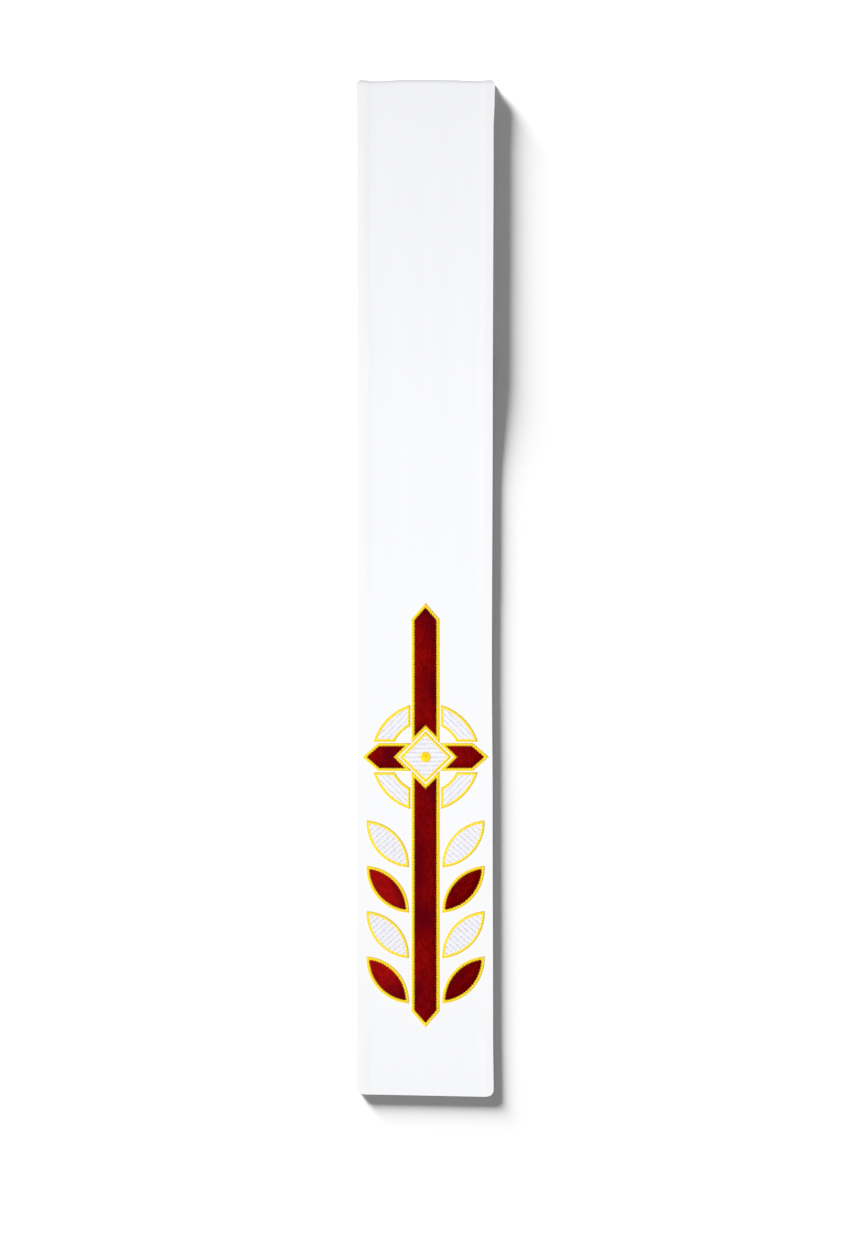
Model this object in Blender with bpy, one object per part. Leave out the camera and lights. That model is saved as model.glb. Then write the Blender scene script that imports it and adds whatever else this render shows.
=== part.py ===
"""A clerical stole of white cloth, folded flat on a surface.

The stole is one long band of cloth, doubled at the neck. Here its two halves lie on each other, and the
neck end is turned under at the top, so one half shows from its foot hem to the top fold. A raised motif
lies above the foot: a ringed cross on a stem with pairs of leaves, each piece edged with satin stitch.

X runs across the band, +Y from the foot hem to the top fold, +Z up. The origin is the centre of the
underside, on the surface. All sizes are in metres.
"""

import math
from collections import namedtuple

import bmesh
import bpy
from mathutils import Matrix, Vector

MM = 0.001

# Driving sizes of the folded stole.
SHOWN_LENGTH = 1032 * MM
TURNED_UNDER = 270 * MM
CLOTH = 2.0 * MM
GAP = 0.3 * MM

# Where the bands come down from four layers to two, below the end of the part that is turned under.
RAMP = 140 * MM

# The outline seen from above: the height over the foot hem, and the two long edges from the centreline.
OutlineRow = namedtuple("OutlineRow", "height left right")
OUTLINE = [
    OutlineRow(0 * MM, -70.5 * MM, 69.2 * MM),
    OutlineRow(62 * MM, -69.6 * MM, 68.6 * MM),
    OutlineRow(300 * MM, -69.8 * MM, 68.1 * MM),
    OutlineRow(430 * MM, -69.6 * MM, 67.4 * MM),
    OutlineRow(700 * MM, -69.4 * MM, 68.2 * MM),
    OutlineRow(980 * MM, -69.4 * MM, 69.0 * MM),
    OutlineRow(1012 * MM, -69.7 * MM, 70.1 * MM),
    OutlineRow(1032 * MM, -69.9 * MM, 70.5 * MM),
]
FOOT_CORNER = 7.5 * MM
TOP_CORNER = 5.0 * MM
NECK_CORNER = 3.0 * MM

# At the neck the band is doubled, and its end goes on a little way to the seam with the hidden half.
NECK_SEAM = 6.0 * MM

# The foot hem is cut a little askew: it is lowest at the right edge.
FOOT_SLANT = 2.8 * MM
SLANT_REACH = 160 * MM

# The top fold seen from above: how far each place across it stands back from the furthest one.
FoldRow = namedtuple("FoldRow", "across back")
TOP_FOLD = [
    FoldRow(-65 * MM, 0.5 * MM),
    FoldRow(-53 * MM, 1.3 * MM),
    FoldRow(-22 * MM, 0.1 * MM),
    FoldRow(0 * MM, 0.0 * MM),
    FoldRow(24 * MM, 0.2 * MM),
    FoldRow(53 * MM, 1.1 * MM),
    FoldRow(65 * MM, 0.5 * MM),
]
FOLD_REACH = 40 * MM

# The seam allowance turned in along each long edge makes a border that stands a little proud, except
# where the stitching of the motif presses it flat. It fades out over a short way on both sides of that.
LEFT_TURN = 13 * MM
RIGHT_TURN = 11.5 * MM
TURN_RISE = 0.4 * MM
TURN_SLOPE = 2.5 * MM
PRESS_MARGIN = 4 * MM
PRESS_FADE = 14 * MM
HEM_FADE = 6 * MM

# The half rounded edge of one band: its inset in edge radii, and its height as a share of the thickness.
EdgeRow = namedtuple("EdgeRow", "inset height")
EDGE_PROFILE = [EdgeRow(0.0, 0.64), EdgeRow(0.3, 0.88), EdgeRow(1.0, 1.0)]
# How many columns of faces lie between the two borders, how many steps each half turn takes, and the
# longest step along the flat stretches, the ramp and the last stretch before the top fold.
BAND_COLUMNS = 6
TURN_STEPS = 10
FLAT_STEP = 62 * MM
RAMP_STEP = 17.5 * MM
BRINK_STEP = 14 * MM
EDGE_RADIUS = CLOTH / 2
# The blunt end of a band: the distance from the end, and the share of the full thickness there.
EndRow = namedtuple("EndRow", "distance share")
END_PROFILE = [EndRow(0.0, 0.35), EndRow(0.35 * MM, 0.76), EndRow(1.0 * MM, 1.0)]
# Where sections lie on the rounded foot corners, on the round end at the neck seam, and on the hidden fold.
FOOT_CORNER_SHARES = (0.3, 0.6)
SEAM_SHARES = (0.0, 0.25, 0.6, 1.0)
HIDDEN_TURN_DEGREES = (25, 50, 70, 82)

# The hidden layers lie a little back from the edges of the band that shows.
HIDDEN_LEFT = 0.4 * MM
HIDDEN_RIGHT = 1.8 * MM
HIDDEN_FOOT = 3.0 * MM
HIDDEN_FOLD = 1.8 * MM
LAYER_GROOVE = 4.0 * MM
# The side of the hidden layers: height as a share, inset of the rounded edge, share of the groove's depth.
SideRow = namedtuple("SideRow", "height inset groove")
SIDE_PROFILE = [
    SideRow(0.00, 0.90 * MM, 0.0),
    SideRow(0.08, 0.25 * MM, 0.0),
    SideRow(0.22, 0.0, 0.0),
    SideRow(0.44, 0.0, 0.0),
    SideRow(0.48, 0.0, 1.0),
    SideRow(0.52, 0.0, 1.0),
    SideRow(0.56, 0.0, 0.0),
    SideRow(0.78, 0.0, 0.0),
    SideRow(0.92, 0.25 * MM, 0.0),
    SideRow(1.00, 0.90 * MM, 0.0),
]

# The embroidered motif, measured from the crossing of the cross.
CROSSING_HEIGHT = 345 * MM
BORDER = 3.2 * MM
FILL_THICKNESS = 1.0 * MM
BORDER_THICKNESS = 1.3 * MM
MOTIF_SPACE = 1.6 * MM
LIMB_WIDTH = 28 * MM
LIMB_TIP = 16 * MM
TOP_LIMB = 156 * MM
SIDE_LIMB = 64 * MM
FOOT_LIMB = 274 * MM
LOZENGE = 26 * MM
RING_INNER = 35 * MM
RING_OUTER = 55 * MM
BOSS_RADIUS = 5.5 * MM
BOSS_TOP_RADIUS = 3.6 * MM
BOSS_SIDES = 20
LEAF_PAIRS = 4
LEAF_LENGTH = 64 * MM
LEAF_BULGE = 13 * MM
LEAF_ANGLE = math.radians(48)
LEAF_ROOT = 17 * MM
FIRST_LEAF = -112 * MM
LEAF_STEP = -46 * MM
ARC_STEPS = 9

# Edges that turn more sharply than this are shaded as edges.
SHARP_ANGLE = math.radians(50)

# Heights and places that follow from the sizes above.
LOW_STACK = 2 * CLOTH + GAP
HIGH_STACK = 4 * CLOTH + 3 * GAP
FOLD_RADIUS = HIGH_STACK / 2
INNER_RADIUS = FOLD_RADIUS - CLOTH - GAP
NECK_RADIUS = LOW_STACK / 2
FOOT_Y = -SHOWN_LENGTH / 2
TOP_Y = SHOWN_LENGTH / 2
FOLD_Y = TOP_Y - FOLD_RADIUS
NECK_Y = TOP_Y - TURNED_UNDER
SEAM_Y = NECK_Y + NECK_RADIUS + NECK_SEAM
RAMP_Y = NECK_Y - RAMP
PRESSED_LOW = FOOT_Y + CROSSING_HEIGHT - FOOT_LIMB - PRESS_MARGIN
PRESSED_HIGH = FOOT_Y + CROSSING_HEIGHT + TOP_LIMB + PRESS_MARGIN


def smooth(share):
    """A soft step from 0 to 1 as share goes from 0 to 1."""
    share = min(max(share, 0.0), 1.0)
    return share * share * (3 - 2 * share)


def read_table(rows, place, column):
    """The named column of a table, read softly between the rows on both sides of the place."""
    if place <= rows[0][0]:
        return getattr(rows[0], column)
    for low, high in zip(rows, rows[1:]):
        if place <= high[0]:
            share = smooth((place - low[0]) / (high[0] - low[0]))
            return getattr(low, column) * (1 - share) + getattr(high, column) * share
    return getattr(rows[-1], column)


def edges_at(y):
    """The left and right edge of the stole at y."""
    height = y - FOOT_Y
    return read_table(OUTLINE, height, "left"), read_table(OUTLINE, height, "right")


def corner_inset(distance, radius):
    """How far a rounded corner takes an edge in, at a distance from the end of the band."""
    if distance >= radius:
        return 0.0
    return radius - math.sqrt(max(radius**2 - (radius - distance) ** 2, 0.0))


def face_height(y):
    """The height of the face that shows: four layers at the top, two below the ramp."""
    return LOW_STACK + (HIGH_STACK - LOW_STACK) * smooth((y - RAMP_Y) / RAMP)


def border_rise(y):
    """How much of their full rise the turned-in borders have on the face that shows."""
    beyond = max(PRESSED_LOW - y, y - PRESSED_HIGH)
    return smooth((y - FOOT_Y) / HEM_FADE) * smooth(beyond / PRESS_FADE)


def steps(start, end, longest):
    """Places from start to end, evenly spaced and no further apart than longest."""
    count = max(1, math.ceil(abs(end - start) / longest))
    return [start + (end - start) * i / count for i in range(count + 1)]


def close_end(mesh, loop):
    """A flat cap on an end loop: a strip of faces between its two halves, which mirror each other."""
    pairs = list(zip(loop, reversed(loop)))[: len(loop) // 2]
    for near, far in zip(pairs, pairs[1:]):
        mesh.faces.new((near[0], far[0], far[1], near[1]))


def loft(name, rings, material):
    """A closed solid through rings that have the same number of points, with a flat cap at both ends."""
    mesh = bmesh.new()
    loops = [[mesh.verts.new(point) for point in ring] for ring in rings]
    for near, far in zip(loops, loops[1:]):
        for i in range(len(near)):
            j = (i + 1) % len(near)
            mesh.faces.new((near[i], near[j], far[j], far[i]))
    close_end(mesh, loops[0])
    close_end(mesh, loops[-1])
    bmesh.ops.recalc_face_normals(mesh, faces=mesh.faces)
    data = bpy.data.meshes.new(name)
    mesh.to_mesh(data)
    mesh.free()
    data.shade_smooth()
    data.set_sharp_from_angle(angle=SHARP_ANGLE)
    solid = bpy.data.objects.new(name, data)
    data.materials.append(material)
    return solid


# One place along the band: a point on its outer face in the YZ plane, which way that face looks there
# (0 is up, half a turn is down), the share of the full thickness, the rise of the turned-in borders, how
# much a rounded corner takes the edges in, and how much of the fold's bow and the hem's slant it follows.
Station = namedtuple("Station", "y z facing thickness rise inset bow slant")


def face_stations():
    """The band that shows, from the foot hem up to the top fold."""
    ends = [FOOT_Y + distance for distance, _ in END_PROFILE]
    corner = [FOOT_Y + FOOT_CORNER * share for share in FOOT_CORNER_SHARES]
    body = steps(FOOT_Y + FOOT_CORNER, PRESSED_LOW - PRESS_FADE, FLAT_STEP)
    pressed = [PRESSED_LOW - PRESS_FADE / 2] + steps(PRESSED_LOW, PRESSED_HIGH, FLAT_STEP)
    free = [PRESSED_HIGH + PRESS_FADE / 2] + steps(PRESSED_HIGH + PRESS_FADE, RAMP_Y, FLAT_STEP)
    ramp = steps(RAMP_Y, NECK_Y, RAMP_STEP)[1:]
    upper = steps(NECK_Y, FOLD_Y - FOLD_REACH, FLAT_STEP)[1:]
    brink = steps(FOLD_Y - FOLD_REACH, FOLD_Y, BRINK_STEP)[1:]
    shares = dict(zip(ends, (share for _, share in END_PROFILE)))
    return [
        Station(
            y=y,
            z=face_height(y) - CLOTH * (1 - shares.get(y, 1.0)) / 2,
            facing=0.0,
            thickness=shares.get(y, 1.0),
            rise=border_rise(y),
            inset=corner_inset(y - FOOT_Y, FOOT_CORNER),
            bow=smooth((y - FOLD_Y + FOLD_REACH) / FOLD_REACH),
            slant=1 - smooth((y - FOOT_Y) / SLANT_REACH),
        )
        for y in ends + corner + body + pressed + free + ramp + upper + brink
    ]


def half_turn(centre_y, radius, start):
    """The outer face as the band turns over: its y and z, which way it faces, and the share of the turn."""
    places = []
    for i in range(1, TURN_STEPS):
        share = i / TURN_STEPS
        facing = start + math.pi * share
        y = centre_y + radius * math.sin(facing)
        z = radius + radius * math.cos(facing)
        places.append((y, z, facing, share))
    return places


def fold_stations():
    """The band where it rolls over the top fold."""
    return [
        Station(
            y=y,
            z=z,
            facing=facing,
            thickness=1.0,
            rise=1 - smooth(share),
            inset=corner_inset(TOP_Y - y, TOP_CORNER),
            bow=1.0,
            slant=0.0,
        )
        for y, z, facing, share in half_turn(FOLD_Y, FOLD_RADIUS, 0.0)
    ]


def under_stations():
    """The band turned under, flat on the surface, from the top fold to the neck."""
    brink = steps(FOLD_Y, FOLD_Y - FOLD_REACH, BRINK_STEP)
    body = steps(FOLD_Y - FOLD_REACH, NECK_Y + NECK_RADIUS, FLAT_STEP)[1:]
    return [
        Station(
            y=y,
            z=0.0,
            facing=math.pi,
            thickness=1.0,
            rise=0.0,
            inset=corner_inset(y - NECK_Y, NECK_CORNER),
            bow=smooth((y - FOLD_Y + FOLD_REACH) / FOLD_REACH),
            slant=0.0,
        )
        for y in brink + body
    ]


def neck_stations():
    """The neck, where the band is doubled, and its end at the seam with the hidden half."""
    turn = [(y, z, facing, 1.0) for y, z, facing, _ in half_turn(NECK_Y + NECK_RADIUS, NECK_RADIUS, math.pi)]
    flat = [(NECK_Y + NECK_RADIUS, LOW_STACK, 2 * math.pi, 1.0)]
    end = [
        (SEAM_Y - distance, LOW_STACK - CLOTH * (1 - share) / 2, 2 * math.pi, share)
        for distance, share in reversed(END_PROFILE)
    ]
    return [
        Station(
            y=y,
            z=z,
            facing=facing,
            thickness=share,
            rise=0.0,
            inset=corner_inset(y - NECK_Y, NECK_CORNER),
            bow=0.0,
            slant=0.0,
        )
        for y, z, facing, share in turn + flat + end
    ]


def band_ring(station):
    """The closed section of the band at a station: along its outer face, and back along its plain inside."""
    left, right = edges_at(station.y)
    left += station.inset
    right -= station.inset
    thickness = CLOTH * station.thickness
    radius = thickness / 2
    rounding = [(left + radius * inset, share, share) for inset, share in EDGE_PROFILE]
    borders = [
        (left + LEFT_TURN - TURN_SLOPE, 1.0, 1.0),
        (left + LEFT_TURN + TURN_SLOPE, 1.0, 0.0),
    ]
    inner_left = left + LEFT_TURN + TURN_SLOPE
    inner_right = right - RIGHT_TURN - TURN_SLOPE
    spacing = (inner_right - inner_left) / BAND_COLUMNS
    middle = [(inner_left + spacing * i, 1.0, 0.0) for i in range(1, BAND_COLUMNS)]
    far_borders = [
        (inner_right, 1.0, 0.0),
        (right - RIGHT_TURN + TURN_SLOPE, 1.0, 1.0),
    ]
    far_rounding = [(right - radius * inset, share, share) for inset, share in reversed(EDGE_PROFILE)]
    outer = rounding + borders + middle + far_borders + far_rounding
    inner = [(x, 1 - share, 0.0) for x, share, _ in reversed(outer)]
    normal = Vector((0, math.sin(station.facing), math.cos(station.facing)))
    ring = []
    for x, share, rise in outer + inner:
        back = read_table(TOP_FOLD, x, "back") * station.bow
        askew = FOOT_SLANT * (OUTLINE[0].right - x) / (OUTLINE[0].right - OUTLINE[0].left) * station.slant
        base = Vector((x, station.y - back + askew, station.z))
        depth = thickness * (1 - share) - TURN_RISE * rise * station.rise
        ring.append(base - normal * depth)
    return ring


def front_band(cloth):
    """The half of the stole that shows, with its neck end turned under: one wall of cloth."""
    stations = face_stations() + fold_stations() + under_stations() + neck_stations()
    return loft("front_band", [band_ring(station) for station in stations], cloth)


# One section of the hidden layers: its place, lowest and highest point, share of the groove between its
# two layers, and how much a rounded corner takes the edges in.
Section = namedtuple("Section", "y low high groove inset")


def hidden_top(y):
    """The height of the hidden layers, just under the band that shows."""
    return face_height(y) - CLOTH - GAP


def hidden_sections():
    """The other half of the stole: one layer from the foot to the neck seam, two from there to the top."""
    foot = FOOT_Y + HIDDEN_FOOT
    middle = FOLD_RADIUS
    sections = []
    for distance, share in END_PROFILE:
        inset = corner_inset(distance, FOOT_CORNER)
        half = CLOTH * share / 2
        sections.append(Section(foot + distance, CLOTH / 2 - half, CLOTH / 2 + half, 0.0, inset))
    for y in [foot + FOOT_CORNER / 2] + steps(foot + FOOT_CORNER, RAMP_Y, FLAT_STEP):
        inset = corner_inset(y - foot, FOOT_CORNER)
        sections.append(Section(y, hidden_top(y) - CLOTH, hidden_top(y), 0.0, inset))
    for y in steps(RAMP_Y, NECK_Y, RAMP_STEP)[1:]:
        sections.append(Section(y, hidden_top(y) - CLOTH, hidden_top(y), 0.0, 0.0))
    seam = SEAM_Y + GAP
    for share in SEAM_SHARES:
        doubled = math.sqrt(1 - (1 - share) ** 2)
        low = hidden_top(seam) - CLOTH - (CLOTH + GAP) * doubled
        sections.append(Section(seam + EDGE_RADIUS * share, low, hidden_top(seam), doubled, 0.0))
    fold = FOLD_Y - HIDDEN_FOLD
    for y in steps(seam + LAYER_GROOVE, fold, FLAT_STEP):
        sections.append(Section(y, middle - INNER_RADIUS, middle + INNER_RADIUS, 1.0, 0.0))
    for degrees in HIDDEN_TURN_DEGREES:
        angle = math.radians(degrees)
        half = INNER_RADIUS * math.cos(angle)
        y = fold + INNER_RADIUS * math.sin(angle)
        inset = corner_inset(fold + INNER_RADIUS - y, INNER_RADIUS)
        sections.append(Section(y, middle - half, middle + half, math.cos(angle) ** 2, inset))
    return sections


def hidden_ring(section):
    """The closed section of the hidden layers, with a groove along each side where two layers meet."""
    left, right = edges_at(section.y)
    left += HIDDEN_LEFT + section.inset
    right -= HIDDEN_RIGHT + section.inset
    height = section.high - section.low
    side = [
        (section.low + height * share, inset + LAYER_GROOVE * groove * section.groove)
        for share, inset, groove in SIDE_PROFILE
    ]
    rising = [Vector((right - inset, section.y, z)) for z, inset in side]
    falling = [Vector((left + inset, section.y, z)) for z, inset in reversed(side)]
    return rising + falling


def folded_layers(cloth):
    """The layers under the band that shows, as one rounded solid that is layered at its edges."""
    return loft("folded_layers", [hidden_ring(section) for section in hidden_sections()], cloth)


def turned(points, angle):
    """Points of an outline, turned about the crossing."""
    rotation = Matrix.Rotation(angle, 2)
    return [rotation @ Vector(point) for point in points]


def mirrored(points):
    """The outline on the other side of the centreline, still anticlockwise."""
    return [Vector((-point.x, point.y)) for point in reversed(points)]


def arc(centre, radius, start, end):
    """Points along a round stretch, both ends included."""
    return [
        centre + Vector((math.cos(angle), math.sin(angle))) * radius
        for angle in (start + (end - start) * i / ARC_STEPS for i in range(ARC_STEPS + 1))
    ]


def limb(length, angle):
    """One limb of the cross: pointed at its end, and notched where it meets the lozenge."""
    half = LIMB_WIDTH / 2
    notch = LOZENGE + MOTIF_SPACE * math.sqrt(2)
    points = [
        (0, notch),
        (half, notch - half),
        (half, length - LIMB_TIP),
        (0, length),
        (-half, length - LIMB_TIP),
        (-half, notch - half),
    ]
    return turned(points, angle)


def lozenge():
    """The lozenge at the crossing."""
    return turned([(LOZENGE, 0), (0, LOZENGE), (-LOZENGE, 0), (0, -LOZENGE)], 0.0)


def ring_quarter(angle):
    """The part of the ring between two limbs."""
    clear = LIMB_WIDTH / 2 + MOTIF_SPACE
    outer = math.asin(clear / RING_OUTER)
    inner = math.asin(clear / RING_INNER)
    centre = Vector((0, 0))
    outside = arc(centre, RING_OUTER, outer, math.pi / 2 - outer)
    inside = arc(centre, RING_INNER, math.pi / 2 - inner, inner)
    return turned(outside + inside, angle)


def leaf(row):
    """A leaf on the right of the stem: two round sides between its root and its tip."""
    root = Vector((LEAF_ROOT, FIRST_LEAF + LEAF_STEP * row))
    along = Vector((math.cos(LEAF_ANGLE), math.sin(LEAF_ANGLE)))
    across = Vector((along.y, -along.x))
    half = LEAF_LENGTH / 2
    radius = (half**2 + LEAF_BULGE**2) / (2 * LEAF_BULGE)
    spread = math.asin(half / radius)
    middle = root + along * half
    outward = math.atan2(across.y, across.x)
    lower = arc(middle - across * (radius - LEAF_BULGE), radius, outward - spread, outward + spread)
    upper = arc(
        middle + across * (radius - LEAF_BULGE),
        radius,
        outward + math.pi - spread,
        outward + math.pi + spread,
    )
    return lower[:-1] + upper[:-1]


def motif_pieces():
    """Each piece of the motif: its name, its outline round the crossing, and its thread."""
    quarter = math.pi / 2
    pieces = [
        ("cross_top", limb(TOP_LIMB, 0.0), "burgundy"),
        ("cross_left", limb(SIDE_LIMB, quarter), "burgundy"),
        ("cross_foot", limb(FOOT_LIMB, 2 * quarter), "burgundy"),
        ("cross_right", limb(SIDE_LIMB, 3 * quarter), "burgundy"),
        ("lozenge", lozenge(), "white"),
    ]
    for i, corner in enumerate(("top_right", "top_left", "foot_left", "foot_right")):
        pieces.append((f"ring_{corner}", ring_quarter(quarter * i), "white"))
    for row in range(LEAF_PAIRS):
        thread = "burgundy" if row % 2 else "white"
        pieces.append((f"leaf_right_{row + 1}", leaf(row), thread))
        pieces.append((f"leaf_left_{row + 1}", mirrored(leaf(row)), thread))
    return pieces


def inset_outline(points, distance):
    """The anticlockwise outline moved inwards by a distance, with its corners kept sharp."""
    moved = []
    for i, point in enumerate(points):
        before = (point - points[i - 1]).normalized()
        after = (points[(i + 1) % len(points)] - point).normalized()
        first = Vector((-before.y, before.x))
        second = Vector((-after.y, after.x))
        moved.append(point + (first + second) * distance / (1 + first.dot(second)))
    return moved


def flat_piece(name, outlines, thickness, material):
    """A flat piece that lies on the face of the foot, just clear of it. A second outline is its hole."""
    curve = bpy.data.curves.new(name, "CURVE")
    curve.dimensions = "2D"
    curve.fill_mode = "BOTH"
    curve.extrude = thickness / 2
    for outline in outlines:
        spline = curve.splines.new("POLY")
        spline.points.add(len(outline) - 1)
        for corner, point in zip(spline.points, outline):
            corner.co = (point.x, point.y, 0, 1)
        spline.use_cyclic_u = True
    crossing = FOOT_Y + CROSSING_HEIGHT
    piece = bpy.data.objects.new(name, curve)
    piece.location = (0, crossing, face_height(crossing) + GAP + thickness / 2)
    curve.materials.append(material)
    return piece


def boss(gold):
    """The small round boss at the middle of the lozenge, on its stitched ground."""
    mesh = bmesh.new()
    height = FILL_THICKNESS
    bmesh.ops.create_cone(
        mesh,
        cap_ends=True,
        segments=BOSS_SIDES,
        radius1=BOSS_RADIUS,
        radius2=BOSS_TOP_RADIUS,
        depth=height,
    )
    data = bpy.data.meshes.new("boss")
    mesh.to_mesh(data)
    mesh.free()
    data.materials.append(gold)
    piece = bpy.data.objects.new("boss", data)
    crossing = FOOT_Y + CROSSING_HEIGHT
    ground = face_height(crossing) + GAP + FILL_THICKNESS
    piece.location = (0, crossing, ground + GAP + height / 2)
    return piece


def motif(threads):
    """All the pieces of the motif: a filled ground and a raised border for each, and the boss."""
    made = [boss(threads["gold"])]
    for name, outline, thread in motif_pieces():
        ground = inset_outline(outline, BORDER + GAP)
        rim = inset_outline(outline, BORDER)
        made.append(flat_piece(name, [ground], FILL_THICKNESS, threads[thread]))
        made.append(flat_piece(f"{name}_border", [outline, rim], BORDER_THICKNESS, threads["gold"]))
    return made


def finish_material(name, colour, roughness, metallic):
    """A plain Principled finish."""
    material = bpy.data.materials.new(name)
    material.use_nodes = True
    shader = material.node_tree.nodes["Principled BSDF"]
    shader.inputs["Base Color"].default_value = (*colour, 1)
    shader.inputs["Roughness"].default_value = roughness
    shader.inputs["Metallic"].default_value = metallic
    return material


def main():
    for old in list(bpy.data.objects):
        bpy.data.objects.remove(old)
    collection = bpy.data.collections.new("clerical_stole")
    bpy.context.scene.collection.children.link(collection)
    cloth = finish_material("white_cloth", (0.90, 0.91, 0.92), 0.75, 0.0)
    threads = {
        "burgundy": finish_material("burgundy_thread", (0.22, 0.004, 0.010), 0.5, 0.0),
        "white": finish_material("white_thread", (0.84, 0.84, 0.88), 0.45, 0.0),
        "gold": finish_material("gold_thread", (0.85, 0.62, 0.05), 0.4, 0.0),
    }
    for piece in [front_band(cloth), folded_layers(cloth)] + motif(threads):
        collection.objects.link(piece)


main()
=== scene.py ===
# %% [markdown]
# # A white clerical stole, folded flat
# A stole is one long band of cloth, doubled at the neck. This one lies on a surface with its halves on
# each other and its neck end turned under, so that one half shows from the foot hem to the top fold.
# The solids of that form come in first. Everything below dresses them: cloth, stitches, light, camera.

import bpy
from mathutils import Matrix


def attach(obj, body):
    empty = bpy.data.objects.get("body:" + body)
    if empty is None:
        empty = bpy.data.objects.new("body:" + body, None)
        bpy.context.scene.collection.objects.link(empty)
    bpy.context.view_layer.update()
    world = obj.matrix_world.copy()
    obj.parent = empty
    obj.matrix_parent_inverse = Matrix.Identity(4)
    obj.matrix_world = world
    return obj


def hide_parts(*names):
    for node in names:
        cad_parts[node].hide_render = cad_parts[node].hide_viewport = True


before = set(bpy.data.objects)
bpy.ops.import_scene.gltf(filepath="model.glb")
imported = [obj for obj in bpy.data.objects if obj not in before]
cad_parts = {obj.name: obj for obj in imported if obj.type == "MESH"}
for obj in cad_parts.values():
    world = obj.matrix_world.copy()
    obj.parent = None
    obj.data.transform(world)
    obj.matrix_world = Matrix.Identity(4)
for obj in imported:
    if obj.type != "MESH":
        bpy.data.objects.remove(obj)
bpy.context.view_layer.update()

# %% [markdown]
# ## Tools and the unit
# Blender counts in metres. A maker thinks in millimetres, so a length below is a number times MM.

# %% Modules and the unit
import math
import random
from collections import namedtuple

import bmesh
import bpy
from mathutils import Matrix, Vector

MM = 0.001
scene = bpy.context.scene

# %% [markdown]
# ## The real sizes
# A maker notes the sizes of the band before cutting, and of the folds before pressing. They are the same
# sizes as those of the solids, so the cloth below takes exactly their place. Only the wall is thinner: a
# lined band is about 1.7 mm thick, and the rest of the 2 mm is the air between layers.

# %% Sizes of the folded band
CLOTH = 2.0 * MM
GAP = 0.3 * MM
WALL = 1.7 * MM
LOW_STACK = 2 * CLOTH + GAP
HIGH_STACK = 4 * CLOTH + 3 * GAP
FOLD_RADIUS = HIGH_STACK / 2
NECK_RADIUS = LOW_STACK / 2
SHOWN_LENGTH = 1032 * MM
TURNED_UNDER = 270 * MM
RAMP = 140 * MM
NECK_SEAM = 6 * MM
BAND_WIDTH = 140 * MM
FOOT_Y = -SHOWN_LENGTH / 2
TOP_Y = SHOWN_LENGTH / 2
FOLD_Y = TOP_Y - FOLD_RADIUS
NECK_Y = TOP_Y - TURNED_UNDER
RAMP_Y = NECK_Y - RAMP
print("stack at the foot", round(LOW_STACK / MM, 1), "mm, at the fold", round(HIGH_STACK / MM, 1), "mm")

# %% [markdown]
# ## The outline of the band
# A hand-made band is never quite straight. Its long edges wander by one to three millimetres, its hem is a
# little askew, and the top fold bows between two corners that reach further. Short tables hold these
# places, and a soft step between their rows keeps every edge smooth, as cloth is.

# %% Tables of the edges
OutlineRow = namedtuple("OutlineRow", "height left right")
OUTLINE = [
    OutlineRow(0 * MM, -70.5 * MM, 69.2 * MM),
    OutlineRow(62 * MM, -69.6 * MM, 68.6 * MM),
    OutlineRow(300 * MM, -69.8 * MM, 68.1 * MM),
    OutlineRow(430 * MM, -69.6 * MM, 67.4 * MM),
    OutlineRow(700 * MM, -69.4 * MM, 68.2 * MM),
    OutlineRow(980 * MM, -69.4 * MM, 69.0 * MM),
    OutlineRow(1012 * MM, -69.7 * MM, 70.1 * MM),
    OutlineRow(1032 * MM, -69.9 * MM, 70.5 * MM),
]
FoldRow = namedtuple("FoldRow", "across back")
TOP_FOLD = [
    FoldRow(-65 * MM, 0.5 * MM),
    FoldRow(-53 * MM, 1.3 * MM),
    FoldRow(-22 * MM, 0.1 * MM),
    FoldRow(0 * MM, 0.0 * MM),
    FoldRow(24 * MM, 0.2 * MM),
    FoldRow(53 * MM, 1.1 * MM),
    FoldRow(65 * MM, 0.5 * MM),
]
FOLD_REACH = 40 * MM
FOOT_SLANT = 2.8 * MM
SLANT_REACH = 160 * MM
FOOT_CORNER = 7.5 * MM
TOP_CORNER = 5.0 * MM
NECK_CORNER = 3.0 * MM
print("width at the foot", round((OUTLINE[0].right - OUTLINE[0].left) / MM, 1), "mm")


# %% How the tables are read
def smooth(share):
    """A soft step from 0 to 1 as share goes from 0 to 1."""
    share = min(max(share, 0.0), 1.0)
    return share * share * (3 - 2 * share)


def read_table(rows, place, column):
    """The named column of a table, read softly between the rows on both sides of the place."""
    if place <= rows[0][0]:
        return getattr(rows[0], column)
    for low, high in zip(rows, rows[1:]):
        if place <= high[0]:
            share = smooth((place - low[0]) / (high[0] - low[0]))
            return getattr(low, column) * (1 - share) + getattr(high, column) * share
    return getattr(rows[-1], column)


def corner_inset(distance, radius):
    """How far a rounded corner takes an edge in, at a distance from the end of the band."""
    if distance >= radius:
        return 0.0
    return radius - math.sqrt(max(radius**2 - (radius - distance) ** 2, 0.0))


def face_height(y):
    """The height of the face that shows: four layers at the top, two below the ramp."""
    return LOW_STACK + (HIGH_STACK - LOW_STACK) * smooth((y - RAMP_Y) / RAMP)


print("face halfway up the ramp", round(face_height(RAMP_Y + RAMP / 2) / MM, 1), "mm high")

# %% [markdown]
# ## The way each half runs
# Cloth bends but hardly stretches, so each half is followed by one number: how far along the cloth a
# point lies from the foot hem. From that number come its place and the way its outer face looks, with
# half turns at the folds. The pattern of the weave uses the same number, so it turns the folds too.

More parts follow.
